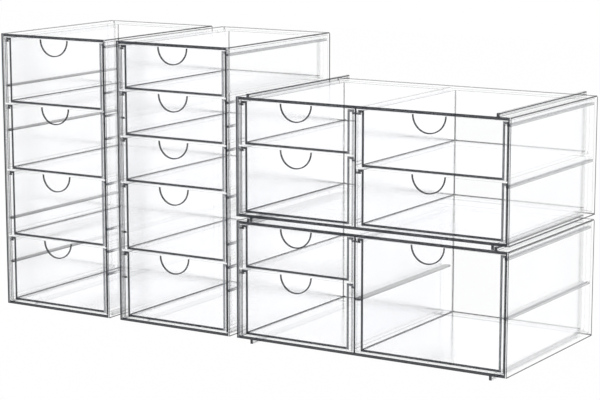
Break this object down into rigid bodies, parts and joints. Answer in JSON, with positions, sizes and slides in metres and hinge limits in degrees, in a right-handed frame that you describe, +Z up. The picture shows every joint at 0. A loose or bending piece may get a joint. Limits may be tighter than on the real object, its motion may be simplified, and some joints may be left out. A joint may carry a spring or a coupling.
{
  "type": "stackable drawer set",
  "caption": "Clear plastic stackable drawer cases for craft stamps, open-front boxes with side rails and pull-out trays that have a half-moon finger cut-out in the front.",
  "frame": {"origin": "on the floor under the middle of the set's bounding box", "axes": "+X to the right along the drawer fronts, -Y towards the person who opens the drawers, +Z up"},
  "size_m": [0.5972, 0.1976, 0.2962],
  "materials": {
    "case_plastic": "clear, glossy moulded polystyrene",
    "divider_plastic": "clear, glossy moulded polystyrene",
    "drawer_plastic": "clear, glossy moulded polystyrene"
  },
  "bodies": {
    "case_lower": {"case_wide_lower": "case_plastic", "divider_lower": "divider_plastic"},
    "case_upper": {"case_wide_upper": "case_plastic", "divider_upper": "divider_plastic"},
    "tower_left": {"case_tower_left": "case_plastic"},
    "tower_middle": {"case_tower_middle": "case_plastic"},
    "drawer_tower_left_1_body": {"drawer_tower_left_1": "drawer_plastic"},
    "drawer_tower_left_2_body": {"drawer_tower_left_2": "drawer_plastic"},
    "drawer_tower_left_3_body": {"drawer_tower_left_3": "drawer_plastic"},
    "drawer_tower_left_4_body": {"drawer_tower_left_4": "drawer_plastic"},
    "drawer_tower_middle_1_body": {"drawer_tower_middle_1": "drawer_plastic"},
    "drawer_tower_middle_2_body": {"drawer_tower_middle_2": "drawer_plastic"},
    "drawer_tower_middle_3_body": {"drawer_tower_middle_3": "drawer_plastic"},
    "drawer_tower_middle_4_body": {"drawer_tower_middle_4": "drawer_plastic"},
    "drawer_tower_middle_5_body": {"drawer_tower_middle_5": "drawer_plastic"},
    "drawer_upper_left_1_body": {"drawer_upper_left_1": "drawer_plastic"},
    "drawer_upper_left_2_body": {"drawer_upper_left_2": "drawer_plastic"},
    "drawer_upper_right_1_body": {"drawer_upper_right_1": "drawer_plastic"},
    "drawer_upper_right_2_body": {"drawer_upper_right_2": "drawer_plastic"},
    "drawer_lower_left_1_body": {"drawer_lower_left_1": "drawer_plastic"},
    "drawer_lower_left_2_body": {"drawer_lower_left_2": "drawer_plastic"},
    "drawer_lower_right_1_body": {"drawer_lower_right_1": "drawer_plastic"}
  },
  "joints": [
    {"name": "case_upper_lift", "type": "slide", "parent": "case_lower", "child": "case_upper", "axis": [0, 0, 1], "range_m": [0, 0.15]},
    {"name": "tower_left_lift", "type": "slide", "parent": "case_lower", "child": "tower_left", "axis": [0, 0, 1], "range_m": [0, 0.15]},
    {"name": "tower_middle_lift", "type": "slide", "parent": "case_lower", "child": "tower_middle", "axis": [0, 0, 1], "range_m": [0, 0.15]},
    {"name": "drawer_tower_left_1_slide", "type": "slide", "parent": "tower_left", "child": "drawer_tower_left_1_body", "axis": [0, -1, 0], "range_m": [0, 0.15]},
    {"name": "drawer_tower_left_2_slide", "type": "slide", "parent": "tower_left", "child": "drawer_tower_left_2_body", "axis": [0, -1, 0], "range_m": [0, 0.15]},
    {"name": "drawer_tower_left_3_slide", "type": "slide", "parent": "tower_left", "child": "drawer_tower_left_3_body", "axis": [0, -1, 0], "range_m": [0, 0.15]},
    {"name": "drawer_tower_left_4_slide", "type": "slide", "parent": "tower_left", "child": "drawer_tower_left_4_body", "axis": [0, -1, 0], "range_m": [0, 0.15]},
    {"name": "drawer_tower_middle_1_slide", "type": "slide", "parent": "tower_middle", "child": "drawer_tower_middle_1_body", "axis": [0, -1, 0], "range_m": [0, 0.15]},
    {"name": "drawer_tower_middle_2_slide", "type": "slide", "parent": "tower_middle", "child": "drawer_tower_middle_2_body", "axis": [0, -1, 0], "range_m": [0, 0.15]},
    {"name": "drawer_tower_middle_3_slide", "type": "slide", "parent": "tower_middle", "child": "drawer_tower_middle_3_body", "axis": [0, -1, 0], "range_m": [0, 0.15]},
    {"name": "drawer_tower_middle_4_slide", "type": "slide", "parent": "tower_middle", "child": "drawer_tower_middle_4_body", "axis": [0, -1, 0], "range_m": [0, 0.15]},
    {"name": "drawer_tower_middle_5_slide", "type": "slide", "parent": "tower_middle", "child": "drawer_tower_middle_5_body", "axis": [0, -1, 0], "range_m": [0, 0.15]},
    {"name": "drawer_upper_left_1_slide", "type": "slide", "parent": "case_upper", "child": "drawer_upper_left_1_body", "axis": [0, -1, 0], "range_m": [0, 0.15]},
    {"name": "drawer_upper_left_2_slide", "type": "slide", "parent": "case_upper", "child": "drawer_upper_left_2_body", "axis": [0, -1, 0], "range_m": [0, 0.15]},
    {"name": "drawer_upper_right_1_slide", "type": "slide", "parent": "case_upper", "child": "drawer_upper_right_1_body", "axis": [0, -1, 0], "range_m": [0, 0.15]},
    {"name": "drawer_upper_right_2_slide", "type": "slide", "parent": "case_upper", "child": "drawer_upper_right_2_body", "axis": [0, -1, 0], "range_m": [0, 0.15]},
    {"name": "drawer_lower_left_1_slide", "type": "slide", "parent": "case_lower", "child": "drawer_lower_left_1_body", "axis": [0, -1, 0], "range_m": [0, 0.15]},
    {"name": "drawer_lower_left_2_slide", "type": "slide", "parent": "case_lower", "child": "drawer_lower_left_2_body", "axis": [0, -1, 0], "range_m": [0, 0.15]},
    {"name": "drawer_lower_right_1_slide", "type": "slide", "parent": "case_lower", "child": "drawer_lower_right_1_body", "axis": [0, -1, 0], "range_m": [0, 0.15]}
  ]
}
